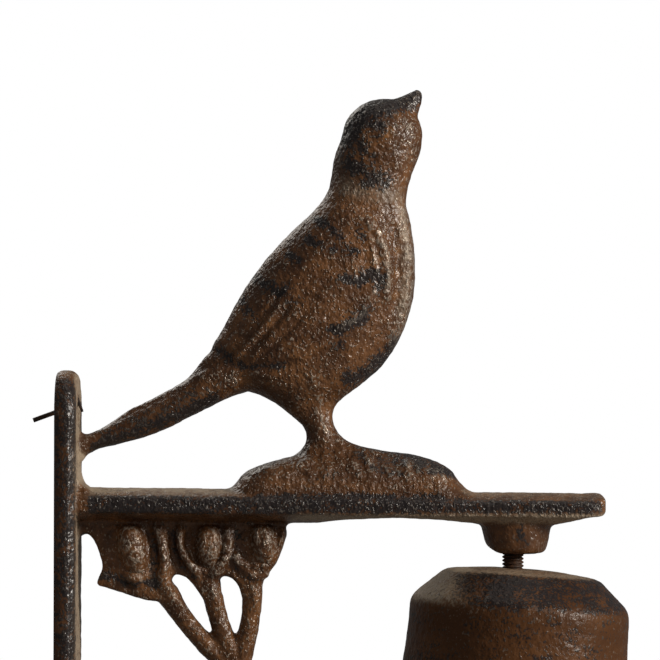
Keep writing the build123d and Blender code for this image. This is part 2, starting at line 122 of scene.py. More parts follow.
class Skin:
    """The points, normals and edges of one mesh, held as arrays in millimetres."""

    def __init__(self, piece):
        self.mesh = piece.data
        count = len(self.mesh.vertices)
        flat = np.zeros(count * 3, np.float32)
        self.mesh.vertices.foreach_get("co", flat)
        self.points = flat.reshape(-1, 3).astype(float) / MM
        pairs = np.zeros(len(self.mesh.edges) * 2, np.int32)
        self.mesh.edges.foreach_get("vertices", pairs)
        self.edges = pairs.reshape(-1, 2)
        ends = np.concatenate([self.edges[:, 0], self.edges[:, 1]])
        self.neighbours = np.maximum(np.bincount(ends, minlength=count), 1)
        self.read_normals()

    @property
    def places(self):
        """Each point's place out from the wall and up, as the object is seen from the side."""
        return self.points[:, [0, 2]]

    @property
    def out(self):
        """Each point's distance from the wall."""
        return self.points[:, 0]

    @property
    def side(self):
        """Each point's distance from the middle plane."""
        return np.abs(self.points[:, 1])

    @property
    def up(self):
        """Each point's height over the plate's middle."""
        return self.points[:, 2]

    @property
    def sideways(self):
        """How far each point faces to a side: 1 when it does so squarely."""
        return np.abs(self.normals[:, 1])

    @property
    def from_screw(self):
        """Each point's distance from the axis of the hanger screw."""
        return np.hypot(self.points[:, 0] - BOSS_FROM_WALL, self.points[:, 1])

    def read_normals(self):
        """Reads each point's normal from the mesh."""
        flat = np.zeros(len(self.mesh.vertices) * 3, np.float32)
        self.mesh.vertices.foreach_get("normal", flat)
        self.normals = flat.reshape(-1, 3).astype(float)

    def write(self):
        """Puts the points back into the mesh and reads the new normals."""
        self.mesh.vertices.foreach_set("co", (self.points * MM).astype(np.float32).ravel())
        self.mesh.update()
        self.read_normals()

    def averaged(self, values, rounds):
        """Each value replaced by its neighbours' mean, several times over."""
        values = np.array(values, float)
        columns = values.reshape(len(values), -1)
        start, end = self.edges[:, 0], self.edges[:, 1]
        for _ in range(rounds):
            mean = np.empty_like(columns)
            for column in range(columns.shape[1]):
                one = columns[:, column]
                total = np.bincount(start, one[end], len(one)) + np.bincount(end, one[start], len(one))
                mean[:, column] = total / self.neighbours
            columns = mean
        return columns.reshape(values.shape)

    def soften(self, rounds, share=0.5):
        """Rounds off edges and fills corners, as sand casting does."""
        for _ in range(rounds):
            self.points += share * (self.averaged(self.points, 1) - self.points)
        self.write()

    def raise_by(self, height):
        """Moves each point along its normal by a height in millimetres, one for all or one for each."""
        self.points += self.normals * np.broadcast_to(height, len(self.points))[:, None]
        self.write()

    def keep_within(self, low, high):
        """Holds the points inside a box, given in metres."""
        self.points = np.clip(self.points, np.array(low) / MM, np.array(high) / MM)
        self.write()

    def paint(self, name, values):
        """Stores one number for each point, for the finish to read."""
        attribute = self.mesh.attributes.get(name) or self.mesh.attributes.new(name, "FLOAT", "POINT")
        attribute.data.foreach_set("value", np.asarray(values, np.float32))

    def paint_layers(self, **layers):
        """Stores every layer that cast iron reads, a little blended. One that isn't given is 0 all over."""
        for name in LAYERS:
            values = np.broadcast_to(layers.get(name, 0.0), len(self.points))
            self.paint(name, self.averaged(np.clip(values, 0.0, MOST_PAINT), 2))

    def crest(self, rounds, reach):
        """How proud each point stands of its surroundings: 1 on a ridge, 0 in a crease, 0.5 where flat."""
        lift = np.sum((self.points - self.averaged(self.points, rounds)) * self.normals, axis=1)
        return np.clip(0.5 + 0.5 * self.averaged(lift, 2) / reach, 0.0, 1.0)


def ramp(values, low, high):
    """A smooth rise from 0 at low to 1 at high."""
    share = np.clip((np.asarray(values, float) - low) / (high - low), 0.0, 1.0)
    return share * share * (3.0 - 2.0 * share)


def fall(values, low, high):
    """A smooth fall from 1 at low to 0 at high."""
    return 1.0 - ramp(values, low, high)


def hump(values, middle, reach):
    """1 at a middle value, falling off softly on both sides."""
    return np.exp(-(((values - middle) / reach) ** 2))


def grain(points, pitch, seed):
    """Noise from about -1 to 1 whose lumps are about one pitch across, for points in millimetres."""
    offset = Vector((seed, seed * 0.7, seed * 1.3))
    return np.array([noise.noise(Vector(point) / pitch + offset) for point in points])


def distance_to_route(places, route):
    """Distance of each (out, up) place from a route of straight runs."""
    nearest = np.full(len(places), 1e9)
    for start, end in zip(route[:-1], route[1:]):
        start, run = np.array(start, float), np.array(end, float) - np.array(start, float)
        share = np.clip(((places - start) @ run) / (run @ run), 0.0, 1.0)
        nearest = np.minimum(nearest, np.linalg.norm(places - start - share[:, None] * run, axis=1))
    return nearest


def stroke(places, route, width, strength):
    """A soft stroke along a route: a ridge, a band of paint or, where negative, a groove."""
    return strength * hump(distance_to_route(places, route), 0.0, width / 2)


def summed(places, strokes):
    """All strokes added up at each place."""
    total = np.zeros(len(places))
    for route, width, strength in strokes:
        total += stroke(places, route, width, strength)
    return total


def strongest(places, strokes):
    """The strongest of all strokes at each place."""
    total = np.zeros(len(places))
    for route, width, strength in strokes:
        total = np.maximum(total, stroke(places, route, width, strength))
    return total


def patches(places, spots):
    """Soft round patches, strongest at their middles."""
    total = np.zeros(len(places))
    for out, up, radius, strength in spots:
        gap = np.linalg.norm(places - np.array((out, up)), axis=1)
        total = np.maximum(total, strength * hump(gap, 0.0, radius))
    return total


def roughen(skin, sizes, free, knobbly=0.0):
    """Adds broad lumps and sand grain where the casting is free to be rough, and knobs where asked."""
    lump_height, grain_height = sizes.lump_height / MM, sizes.grain_height / MM
    grain_pitch = sizes.grain_pitch / MM
    lumps = grain(skin.points, LUMP_PITCH, LUMP_SEED) * lump_height
    knobs = np.maximum(grain(skin.points, KNOB_PITCH, KNOB_SEED), 0.0) * KNOB_SHARE * lump_height * knobbly
    sand = grain(skin.points, grain_pitch, SAND_SEED) * grain_height
    fine = grain(skin.points, FINE_SHARE * grain_pitch, FINE_SEED) * FINE_SHARE * grain_height
    skin.raise_by((lumps + knobs + sand + fine) * free)


def join_rings(work, near, far):
    """Closes the gap between two rings of points with faces."""
    for one in range(len(near)):
        after = (one + 1) % len(near)
        work.faces.new((near[one], near[after], far[after], far[one]))


def copy_of(node, name):
    """A new piece with the same mesh as a CAD node, with its points merged and no material."""
    piece = bpy.data.objects.new(name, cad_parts[node].data.copy())
    piece.data.name = name
    bpy.context.scene.collection.objects.link(piece)
    piece.data.materials.clear()
    work = bmesh.new()
    work.from_mesh(piece.data)
    bmesh.ops.remove_doubles(work, verts=work.verts, dist=1e-6)
    work.to_mesh(piece.data)
    work.free()
    return piece


def add_fillets(piece):
    """Adds wedges with a hollow face, which the even skin then joins to the casting."""
    work = bmesh.new()
    work.from_mesh(piece.data)
    sunk, steps = 0.8, 8
    for corner_x, corner_z, out, up, half in FILLETS:
        toward_x, toward_z = math.copysign(sunk, out), math.copysign(sunk, up)
        outline = [(corner_x - toward_x, corner_z - toward_z), (corner_x + out, corner_z - toward_z)]
        for step in range(steps + 1):
            turn = math.pi / 2 * step / steps
            outline.append((corner_x + out * (1.0 - math.sin(turn)), corner_z + up * (1.0 - math.cos(turn))))
        outline.append((corner_x - toward_x, corner_z + up))
        sides = []
        for across in (-half, half):
            sides.append([work.verts.new(Vector((x, across, z)) * MM) for x, z in outline])
        work.faces.new(sides[0])
        work.faces.new(list(reversed(sides[1])))
        join_rings(work, *sides)
    bmesh.ops.recalc_face_normals(work, faces=work.faces)
    work.to_mesh(piece.data)
    work.free()


def remesh(piece, pitch):
    """Rebuilds a piece's skin as an even grid of small faces."""
    change = piece.modifiers.new("even skin", "REMESH")
    change.mode = "VOXEL"
    change.voxel_size = pitch
    change.adaptivity = 0.0
    done = bpy.data.meshes.new_from_object(piece.evaluated_get(bpy.context.evaluated_depsgraph_get()))
    piece.modifiers.clear()
    old = piece.data
    done.name = piece.name
    piece.data = done
    bpy.data.meshes.remove(old)
    for attribute in list(done.attributes):
        if attribute.name in ("sharp_face", "custom_normal", "sharp_edge"):
            done.attributes.remove(attribute)
    done.shade_smooth()
    if not done.polygons:
        raise RuntimeError(f"{piece.name} lost its skin")


def finish_piece(piece, body, material):
    """Gives a new piece its material, slot and body."""
    piece.data.materials.clear()
    piece.data.materials.append(material)
    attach(piece, body)


# Fillets in inner corners: out from the wall, up, reach out, reach up or down, half width
FILLETS = (
    (PLATE_FRONT, ARM_TOP, 3.0, 6.0, 12.0),
    (PLATE_FRONT, 42.2, 2.0, 2.4, 2.6),
    (PLATE_FRONT, 14.3, 1.8, -1.8, 2.2),
)
# Places where the solids' outline lies a little off: middle out and up, radius, move out and up
NUDGES = (
    ((33.5, 0.5), 4.6, (1.35, 0.1)),
    ((48.6, 1.6), 3.4, (0.25, 0.45)),
    ((28.0, 47.0), 12.0, (0.0, -0.28)),
    ((14.0, 41.5), 7.0, (0.0, -0.25)),
    ((37.6, 60.0), 4.2, (0.30, -0.38)),
    ((42.6, 65.0), 4.2, (-0.60, 0.40)),
    ((46.8, 73.2), 5.0, (0.40, -0.20)),
    ((35.4, 57.9), 4.0, (0.20, -0.45)),
    ((53.3, 54.3), 3.0, (0.0, -0.55)),
    ((65.2, 47.9), 4.0, (-0.30, -0.30)),
    ((80.8, 39.8), 2.8, (0.50, 0.65)),
    ((92.7, 37.8), 6.0, (0.0, -0.75)),
    ((104.6, 34.8), 5.0, (0.0, 0.40)),
    ((113.3, 29.5), 3.4, (-1.15, -0.55)),
    ((116.2, 28.4), 2.4, (-0.80, -0.50)),
    ((49.8, 28.9), 2.6, (0.65, 0.0)),
    ((151.2, 24.8), 2.2, (0.60, 0.40)),
    ((151.5, 19.7), 2.2, (0.60, -0.40)),
    ((67.7, 37.9), 2.8, (0.30, -0.35)),
    ((97.2, 137.0), 6.0, (0.20, 0.50)),
    ((81.0, 131.0), 7.0, (0.40, -0.15)),
    ((101.4, 128.8), 4.0, (0.35, 0.0)),
    ((118.6, 10.6), 2.6, (0.55, 0.35)),
    ((136.2, 9.8), 2.2, (-0.30, 0.35)),
    ((63.3, 10.0), 5.0, (-0.40, 0.0)),
    ((11.8, 8.0), 5.0, (0.30, 0.0)),
)

# Ridges and grooves of the castings, in millimetres out from the wall and up. Both sides carry them.
# Each has a route, a width and a height, and a groove has a negative height.
BIRD_RELIEF = (
    # wing's front edge and the strands beside it
    ([(87.0, 101.5), (89.4, 98.0), (91.2, 93.0), (92.0, 87.0), (92.0, 80.5)], 2.6, 1.05),
    ([(87.2, 96.5), (88.2, 92.0), (88.8, 87.5)], 1.8, 0.60),
    ([(94.0, 100.0), (95.2, 93.0), (95.4, 84.0), (94.4, 77.0)], 2.2, -0.60),
    # breast
    ([(96.8, 105.0), (98.2, 95.0), (98.4, 84.0), (96.8, 74.5), (93.4, 67.0)], 3.0, 0.80),
    # feathers over the wing, from the front edge back and down
    ([(88.5, 82.0), (86.0, 77.5), (82.0, 73.5), (78.5, 71.5)], 2.2, 0.50),
    ([(86.2, 84.5), (81.0, 79.5), (75.2, 74.5)], 2.0, -0.40),
    ([(84.5, 88.5), (79.5, 84.5), (73.5, 80.0)], 2.0, 0.40),
    ([(82.5, 93.5), (76.5, 89.5), (70.5, 84.0)], 2.0, -0.35),
    ([(79.0, 97.0), (73.0, 93.0), (67.0, 87.0)], 2.0, 0.30),
    # long feathers
    ([(47.5, 63.0), (53.0, 69.0), (59.0, 76.0), (62.0, 81.0)], 1.7, -0.70),
    ([(51.5, 62.8), (58.5, 70.0), (64.5, 77.0)], 1.7, -0.70),
    ([(56.2, 62.8), (63.5, 69.5), (69.5, 75.5)], 1.7, -0.60),
    ([(49.5, 63.0), (55.5, 69.5), (61.5, 77.0)], 1.5, 0.40),
    # wing's lower edge, leg and tail
    ([(39.5, 60.6), (48.5, 61.6), (58.5, 61.0), (64.5, 61.6)], 2.4, -0.45),
    ([(40.5, 58.2), (50.0, 59.2), (60.0, 58.4)], 2.2, 0.35),
    ([(71.5, 58.0), (73.2, 52.0), (72.8, 46.2), (75.4, 40.6)], 3.0, 0.40),
    ([(50.4, 57.0), (40.4, 54.0), (28.4, 48.8), (16.4, 43.8), (7.4, 40.2)], 2.6, 0.40),
    ([(34.0, 54.5), (24.0, 49.8), (13.0, 44.6)], 1.6, -0.35),
    # knobs on the mound's outer half
    ([(82.6, 34.4), (83.5, 30.0)], 2.4, 0.35),
    ([(86.3, 35.2), (88.0, 29.6)], 2.8, 0.48),
    ([(91.8, 33.4), (93.4, 29.2)], 2.4, 0.38),
    ([(97.0, 33.0), (98.4, 28.6)], 3.0, 0.48),
    ([(102.6, 31.4), (103.8, 28.6)], 2.2, 0.36),
    ([(107.4, 30.2), (109.2, 28.4)], 2.8, 0.45),
)

BUD_RELIEF = (
    # bud nearest the wall: petal, side ridge, lower ridge and stem
    ([(20.2, 16.4), (21.4, 10.0), (23.6, 3.4)], 6.8, 1.15),
    ([(27.0, 16.8), (28.8, 13.0), (29.8, 9.5), (30.2, 6.0), (29.2, 2.8)], 2.3, 1.16),
    ([(25.4, 16.0), (26.8, 11.0), (27.2, 5.5)], 2.2, -0.72),
    ([(18.6, 3.9), (21.0, 2.2), (22.4, 0.6)], 1.8, 0.80),
    ([(13.5, 3.0), (18.0, 1.5), (21.0, -0.6)], 1.6, -0.65),
    ([(29.2, 0.2), (31.8, -2.6), (34.4, -5.6)], 2.2, 0.87),
    # middle bud
    ([(34.5, 17.4), (34.3, 11.2), (35.9, 7.6), (38.4, 4.8), (39.6, 2.2)], 1.9, 1.16),
    ([(36.6, 16.4), (36.8, 11.4), (39.0, 6.4)], 1.5, -0.60),
    ([(32.4, 14.0), (32.6, 9.0), (34.4, 5.0), (37.0, 2.4)], 1.8, -0.58),
    ([(41.2, 15.6), (43.6, 15.6), (44.4, 11.0), (42.8, 6.4), (41.0, 10.0), (41.2, 15.6)], 4.6, 0.85),
    ([(47.4, 17.4), (48.0, 11.2), (46.8, 6.6), (44.2, 3.0)], 2.2, 1.05),
    ([(42.6, 0.4), (44.2, -2.6), (45.0, -5.0)], 2.0, 0.72),
    # outer bud
    ([(56.0, 16.0), (58.4, 16.0), (58.8, 10.4), (57.0, 7.4), (55.6, 10.4), (56.0, 16.0)], 4.8, 1.00),
    ([(49.6, 8.0), (52.2, 4.4), (56.0, 2.4), (60.0, 3.6)], 1.9, 1.01),
    ([(52.0, 15.5), (52.0, 10.4), (54.0, 5.8)], 1.5, -0.30),
    ([(54.8, -0.6), (55.8, -5.6)], 2.0, 0.72),
)

# Black patina on the bird, its tail and the mound: a route, a width and a strength
BLACK_STROKES = (
    ([(80.8, 126.0), (83.2, 131.0), (87.5, 133.6), (93.0, 134.8), (97.0, 136.2), (100.6, 139.2)], 8.0, 1.25),
    ([(84.5, 131.0), (88.5, 130.0), (90.0, 127.5)], 6.4, 0.9),
    ([(81.5, 128.0), (80.0, 121.0), (80.5, 116.5)], 5.0, 0.7),
    ([(85.0, 128.6), (84.6, 122.0), (88.0, 119.0)], 4.6, 0.6),
    ([(82.5, 117.0), (86.0, 114.0), (90.5, 112.5)], 7.0, 0.85),
    ([(72.2, 101.8), (75.0, 100.4)], 2.9, 1.0),
    ([(76.2, 99.0), (79.5, 97.0)], 2.9, 0.8),
    ([(69.0, 96.4), (73.4, 95.2)], 3.2, 1.0),
    ([(74.2, 94.0), (78.4, 93.2), (83.6, 93.0)], 2.6, 0.9),
    ([(64.6, 92.2), (67.6, 90.2)], 3.2, 0.9),
    ([(84.6, 99.4), (86.4, 95.4)], 2.3, 0.7),
    ([(59.2, 83.4), (62.0, 81.4), (64.0, 82.6)], 3.8, 1.0),
    ([(54.6, 86.2), (57.4, 84.2)], 3.5, 0.9),
    ([(64.6, 79.8), (68.0, 78.0)], 2.9, 0.7),
    ([(79.0, 85.4), (84.0, 84.4), (88.6, 86.4), (90.6, 85.0)], 3.5, 1.0),
    ([(89.4, 87.0), (90.0, 81.8)], 2.9, 0.9),
    ([(76.4, 70.6), (80.4, 71.6), (84.4, 73.6), (86.4, 77.4)], 3.8, 1.0),
    ([(77.4, 66.4), (80.0, 67.6)], 2.9, 0.8),
    ([(81.2, 57.6), (86.0, 58.8), (91.6, 64.0), (94.6, 68.0)], 4.9, 0.95),
    ([(51.6, 79.6), (54.8, 74.4)], 3.2, 0.6),
    ([(44.4, 67.0), (49.4, 61.4), (56.4, 60.8), (63.4, 61.6)], 2.6, 0.7),
    ([(44.0, 52.4), (36.4, 48.4), (27.4, 44.6), (17.4, 41.0), (10.4, 38.6)], 3.8, 1.0),
    ([(46.4, 57.2), (37.4, 53.0), (26.4, 48.4), (12.0, 42.0)], 3.0, 0.5),
    ([(80.0, 43.0), (86.0, 39.8), (94.0, 37.4), (102.0, 34.8), (108.0, 32.0), (113.0, 29.4)], 4.1, 0.85),
    ([(90.0, 35.4), (98.0, 34.0), (104.0, 31.6)], 3.5, 0.6),
    ([(57.0, 32.0), (62.0, 35.4), (68.0, 37.6)], 2.6, 0.5),
    ([(84.0, 36.0), (90.0, 32.0), (97.0, 30.0)], 3.4, 0.7),
    ([(70.0, 31.0), (77.0, 30.0), (84.0, 31.0)], 2.6, 0.5),
)
# Fresh rust on the head, the wing's front edge and the breast: out, up, radius and strength
ORANGE_PATCHES = (
    (92.4, 126.0, 2.6, 0.75),
    (95.0, 131.0, 1.6, 0.6),
    (95.0, 93.0, 2.2, 0.6),
    (95.2, 87.0, 2.2, 0.6),
    (94.6, 81.0, 2.2, 0.6),
    (91.0, 75.0, 3.0, 0.4),
)

# Black on the buds, in millimetres as above: painted shadow beside the ridges and under the nearest bud,
# with black patina
BUD_BLACK = (
    ([(12.4, 2.9), (16.0, 2.6), (21.2, 0.4), (28.2, 0.2)], 2.4, 1.1),
    ([(26.4, 16.0), (27.8, 10.0), (27.0, 4.0)], 1.8, 0.7),
    ([(33.0, 15.0), (32.8, 12.0), (34.6, 7.0), (38.6, 2.0)], 1.6, 0.9),
    ([(49.0, 6.2), (52.0, 3.2), (56.0, 1.2)], 1.6, 0.9),
    ([(50.0, 15.0), (50.0, 9.0)], 2.0, 0.6),
)
# Black patina on the boss under the arm's end
BOSS_BLACK = (
    ([(128.6, 15.6), (130.0, 12.0)], 3.2, 1.0),
    ([(121.0, 9.2), (127.0, 8.6)], 1.6, 0.6),
)

# Painted glints and highlights on the grain: breast, wing's front edge, beak, nape, leg, mound and boss
GLINT_STROKES = (
    ([(96.4, 105.0), (97.8, 96.0), (98.2, 86.0), (97.0, 77.0), (94.0, 70.0)], 4.0, 1.2),
    ([(87.0, 101.0), (90.6, 94.0), (92.0, 85.0), (91.0, 78.0)], 3.2, 1.1),
    ([(96.8, 130.6), (99.0, 134.4), (101.2, 138.0)], 2.0, 1.0),
    ([(98.2, 132.0), (98.8, 126.0), (98.4, 119.0)], 3.4, 0.9),
    ([(80.2, 128.0), (79.2, 121.0), (79.8, 116.0)], 2.4, 0.9),
    ([(88.6, 82.0), (87.4, 76.0), (82.0, 72.6)], 3.2, 0.8),
    ([(70.8, 60.0), (73.2, 52.0), (74.2, 44.0), (80.0, 40.8)], 3.0, 0.8),
    ([(60.0, 33.0), (70.0, 34.0), (82.0, 33.0)], 4.0, 0.6),
    ([(86.0, 34.4), (94.0, 31.8), (104.0, 29.6)], 3.0, 1.0),
    ([(88.0, 37.4), (98.0, 33.6), (110.0, 29.6)], 4.4, 0.8),
    ([(134.0, 9.6), (136.6, 11.0), (136.8, 14.0)], 2.4, 1.0),
)
# Where grey dust and painted sheen lie: neck, nape, the plate's top, the fillet over the arm and the breast
DUST_AND_SHEEN_STROKES = (
    ([(80.0, 111.5), (86.0, 109.5), (93.0, 109.0), (98.0, 108.0)], 6.0, 0.55),
    ([(80.2, 124.0), (79.8, 117.0)], 2.6, 0.5),
    ([(1.6, 59.4), (4.4, 59.0)], 2.2, 0.3),
    ([(6.2, 36.0), (7.2, 31.0), (11.5, 28.2)], 3.4, 1.0),
    ([(96.4, 107.0), (97.4, 97.0), (97.8, 86.0), (96.4, 77.0)], 3.8, 0.62),
)


# Shader maths as expressions


class Value:
    """One output of a shader node. Sums and products on it add Math nodes."""

    def __init__(self, owner, socket):
        self.owner = owner
        self.socket = socket

    def __add__(self, other):
        return self.owner.math("ADD", self, other)

    def __sub__(self, other):
        return self.owner.math("SUBTRACT", self, other)

    def __rsub__(self, other):
        return self.owner.math("SUBTRACT", other, self)

    def __mul__(self, other):
        return self.owner.math("MULTIPLY", self, other)

    __radd__ = __add__
    __rmul__ = __mul__

    def rise(self, low, high):
        """A smooth step from 0 at low to 1 at high."""
        return self.owner.node(
            "ShaderNodeMapRange",
            {"interpolation_type": "SMOOTHSTEP"},
            {"Value": self, "From Min": low, "From Max": high},
        )


class NodeTree:
    """A material's or a world's shader, grown node by node."""

    def __init__(self, tree):
        self.tree = tree
        self.tree.nodes.clear()

    def node(self, kind, settings=None, sockets=None, output=0):
        """Adds a node, sets its settings first, then its sockets, and returns one output."""
        made = self.tree.nodes.new(kind)
        for name, setting in (settings or {}).items():
            setattr(made, name, setting)
        for name, value in (sockets or {}).items():
            if isinstance(value, Value):
                self.tree.links.new(value.socket, made.inputs[name])
            else:
                made.inputs[name].default_value = value
        return Value(self, made.outputs[output])

    def math(self, operation, first, second):
        """A number from two."""
        return self.node("ShaderNodeMath", {"operation": operation}, {0: first, 1: second})

    def end(self, kind, shader):
        """Adds the last node, which the whole shader runs into."""
        last = self.tree.nodes.new(kind)
        self.tree.links.new(shader.socket, last.inputs["Surface"])


class Finish(NodeTree):
    """One material and the patterns that the finishes are made from."""

    def __init__(self, name):
        self.material = bpy.data.materials.new(name)
        self.material.use_nodes = True
        super().__init__(self.material.node_tree)
        place = self.node("ShaderNodeTexCoord", output="Object")
        self.place = self.node("ShaderNodeVectorMath", {"operation": "SCALE"}, {0: place, "Scale": 1.0 / MM})

    def vector(self, operation, first, second):
        """A vector from two."""
        return self.node("ShaderNodeVectorMath", {"operation": operation}, {0: first, 1: second})

    def mix(self, share, first, second):
        """A colour between two, by a share from 0 to 1."""
        sockets = {"Factor": share, MIX_FIRST: opaque(first), MIX_SECOND: opaque(second)}
        return self.node("ShaderNodeMix", {"data_type": "RGBA"}, sockets, output=MIX_RESULT)

    def noise(self, pitch, detail=2.0, roughness=0.5, stretch=(1.0, 1.0, 1.0), shift=0.0):
        """Noise from 0 to 1 whose lumps are about one pitch across, in millimetres."""
        scale = tuple(1.0 / (pitch * one) for one in stretch)
        place = self.vector("MULTIPLY", self.place, scale)
        place = self.vector("ADD", place, (shift, shift, shift))
        sockets = {"Vector": place, "Scale": 1.0, "Detail": detail, "Roughness": roughness}
        return self.node("ShaderNodeTexNoise", None, sockets)

    def painted(self, name):
        """A number that was stored for each point of the mesh."""
        return self.node("ShaderNodeAttribute", {"attribute_name": name}, output="Fac")

    def upward(self):
        """How far the surface faces up: 1 where it is level, 0 where it is upright."""
        facing = self.node("ShaderNodeNewGeometry", output="Normal")
        local = self.node(
            "ShaderNodeVectorTransform",
            {"vector_type": "NORMAL", "convert_from": "WORLD", "convert_to": "OBJECT"},
            {"Vector": facing},
        )
        return self.node("ShaderNodeSeparateXYZ", None, {"Vector": local}, output="Z")

    def bump(self, height, depth):
        """A surface normal from a height field whose full range is a depth in millimetres."""
        sockets = {"Height": height, "Distance": depth * MM, "Strength": 1.0}
        return self.node("ShaderNodeBump", None, sockets)

    def surface(self, sockets):
        """Ends the material in a principled surface."""
        shader = self.node("ShaderNodeBsdfPrincipled", None, sockets, output="BSDF")
        self.end("ShaderNodeOutputMaterial", shader)
        return self.material


def opaque(colour):
    """A colour with its alpha, or a link left as it is."""
    return colour if isinstance(colour, Value) else (*colour, 1.0)


# Finishes


class SandCasting(Finish):
    """The painted layers and noises of cast iron, and what its finish is made from."""

    def __init__(self, name, colours, streak):
        super().__init__(name)
        self.colours = colours
        self.paint = {layer: self.painted(layer) for layer in LAYERS}
        across = (streak, streak, 1.0)
        self.mottle = self.noise(9.0, detail=3.0, roughness=0.55, stretch=across)
        self.blotch = self.noise(3.0, detail=3.0, roughness=0.6, stretch=across, shift=11.0)
        self.cluster = self.noise(5.0, detail=1.0, shift=31.0)
        self.wrinkle = self.noise(1.5, detail=1.5, stretch=(0.9, 0.9, 1.1), shift=5.0)
        self.tips = self.noise(0.80, detail=1.0, stretch=(0.9, 0.9, 1.15), shift=3.0)

    def rust(self):
        """Warm rust with orange spots, deeper where it is painted so, and darker in the grain's creases as
        deep rust and painted shade.
        """
        deep, orange = self.colours.rust_deep, self.colours.rust_orange
        colour = self.mix(self.mottle.rise(0.35, 0.68), deep, self.colours.rust_warm)
        colour = self.mix(self.blotch.rise(0.56, 0.78) * 0.45, colour, orange)
        colour = self.mix(self.paint["orange"].rise(0.2, 0.8) * self.blotch.rise(0.30, 0.52), colour, orange)
        # Painted shade: deeper rust in the grain's creases
        colour = self.mix((1.0 - self.wrinkle.rise(0.34, 0.52)) * 0.60, colour, deep)
        return self.mix(self.paint["deep"] * 0.75, colour, deep)

    def black(self, patina):
        """How black each place is: ragged patches, more in creases as patina and painted shade, and where
        they are painted.
        """
        ragged = self.mottle * 0.40 + self.blotch * 0.80 + self.tips * 0.85
        crease = 1.0 - self.paint["crest"].rise(0.22, 0.50)
        return (ragged + self.paint["black"] * 0.46 + crease * 0.09 + (patina - 1.20)).rise(0.0, 0.22)

    def dust(self, black):
        """How dusty each place is, dust and painted sheen alike: what faces up and what is painted so, least
        on the black.
        """
        dust_and_sheen_on_top = self.upward().rise(0.80, 0.99) * 0.30
        uneven = self.blotch.rise(0.34, 0.66) * 0.50 + self.tips.rise(0.38, 0.62) * 0.32 + 0.32
        return (dust_and_sheen_on_top + self.paint["dust"]) * uneven * (1.0 - black * 0.75)

    def bright(self, lively, black):
        """How far each grain's tip is rubbed bright and lit by painted glints, least on the black."""
        proud = self.paint["crest"].rise(0.55, 0.88)
        shine = self.paint["shine"]
        glints = self.tips + (self.wrinkle - self.tips) * (shine * 0.40)
        rubbed_and_glinting = (glints + self.cluster * 0.08 + proud * 0.05 + shine * 0.10).rise(0.66, 0.78)
        return rubbed_and_glinting * lively * (1.0 - black * 0.60)

    def height(self, lively):
        """The grain's height: wrinkles all over, and scattered peaks where it is lively."""
        scattered = self.cluster.rise(0.38, 0.62) * 0.6 + 0.4
        peaks = self.tips.rise(0.50, 0.72) * scattered * lively
        return self.wrinkle * (0.66 - self.paint["calm"] * 0.36) + peaks * 0.26


def cast_iron(name, colours, patina=0.0, grain_depth=0.95, speckle=1.0, streak=1.0, dull=0.31, gloss=0.50):
    """Sand-cast iron: brown rust, black patches and painted shade, bright grain tips and painted glints, and
    dust and painted sheen on what faces up.
    """
    iron = SandCasting(name, colours, streak)
    lively = (1.0 - iron.paint["calm"] * 0.85) * speckle
    black = iron.black(patina)
    dust = iron.dust(black)
    bright = iron.bright(lively, black)
    colour = iron.mix(black * 0.92, iron.rust(), colours.black)
    # Dust and painted sheen lighten the colour
    colour = iron.mix(dust.rise(0.0, 1.0), colour, colours.dust)
    # Painted glints: bright tips lighten the colour itself
    colour = iron.mix(bright * 0.58, colour, colours.bright)
    return iron.surface(
        {
            "Base Color": colour,
            "Roughness": dull - black * 0.03 - bright * 0.04 + dust * 0.30,
            "Metallic": bright * 0.25,
            "Normal": iron.bump(iron.height(lively), grain_depth),
            "Specular IOR Level": gloss,
        }
    )


def worn_steel(name, colours, tint, rust_share):
    """Steel that has dulled and begun to rust: thread, nut, washer, wire and nail."""
    finish = Finish(name)
    mottle = finish.noise(2.6, detail=3.0)
    fine = finish.noise(0.5, detail=2.0, shift=7.0)
    rust_starts = 0.62 - rust_share * 0.4
    rusted = (mottle * 0.7 + fine * 0.5).rise(rust_starts, rust_starts + 0.24)
    colour = finish.mix(rusted, tint, colours.rust_deep)
    colour = finish.mix(fine.rise(0.62, 0.8) * 0.4, colour, colours.rust_warm)
    return finish.surface(
        {
            "Base Color": colour,
            "Roughness": rusted * 0.25 + 0.42,
            "Metallic": (1.0 - rusted) * 0.55,
            "Normal": finish.bump(fine * 0.7 + mottle * 0.5, 0.10),
        }
    )


def plain_white(name, glow, paleness):
    """Floor white to the camera, and an even pale surface that takes shadows. It is clear from below."""
    finish = Finish(name)
    seen = finish.node("ShaderNodeLightPath", output="Is Camera Ray")
    front = 1.0 - finish.node("ShaderNodeNewGeometry", output="Backfacing")
    pale = finish.node("ShaderNodeBsdfDiffuse", None, {"Color": (paleness, paleness, paleness, 1.0)})
    lit = finish.node("ShaderNodeEmission", None, {"Color": WHITE, "Strength": glow})
    both = finish.node("ShaderNodeAddShader", None, {0: pale, 1: lit})
    above = finish.node("ShaderNodeMixShader", None, {"Fac": seen, 1: pale, 2: both})
    clear = finish.node("ShaderNodeBsdfTransparent")
    either_side = finish.node("ShaderNodeMixShader", None, {"Fac": front, 1: clear, 2: above})
    finish.end("ShaderNodeOutputMaterial", either_side)
    return finish.material


# Settings that a user would change


def colour_property(name, description, default):
    return FloatVectorProperty(
        name=name, description=description, default=default, subtype="COLOR", size=3, min=0.0, max=1.0
    )


def length_property(name, description, default):
    return FloatProperty(
        name=name, description=description, default=default, min=0.0, unit="LENGTH", precision=5
    )


def rounding_property(name, description, default):
    return IntProperty(name=name, description=description, default=default, min=0, max=20)


def power_property(name, description, default):
    return FloatProperty(name=name, description=description, default=default, min=0.0, unit="POWER")


def share_property(name, description, default):
    return FloatProperty(name=name, description=description, default=default, min=0.0, max=1.0)


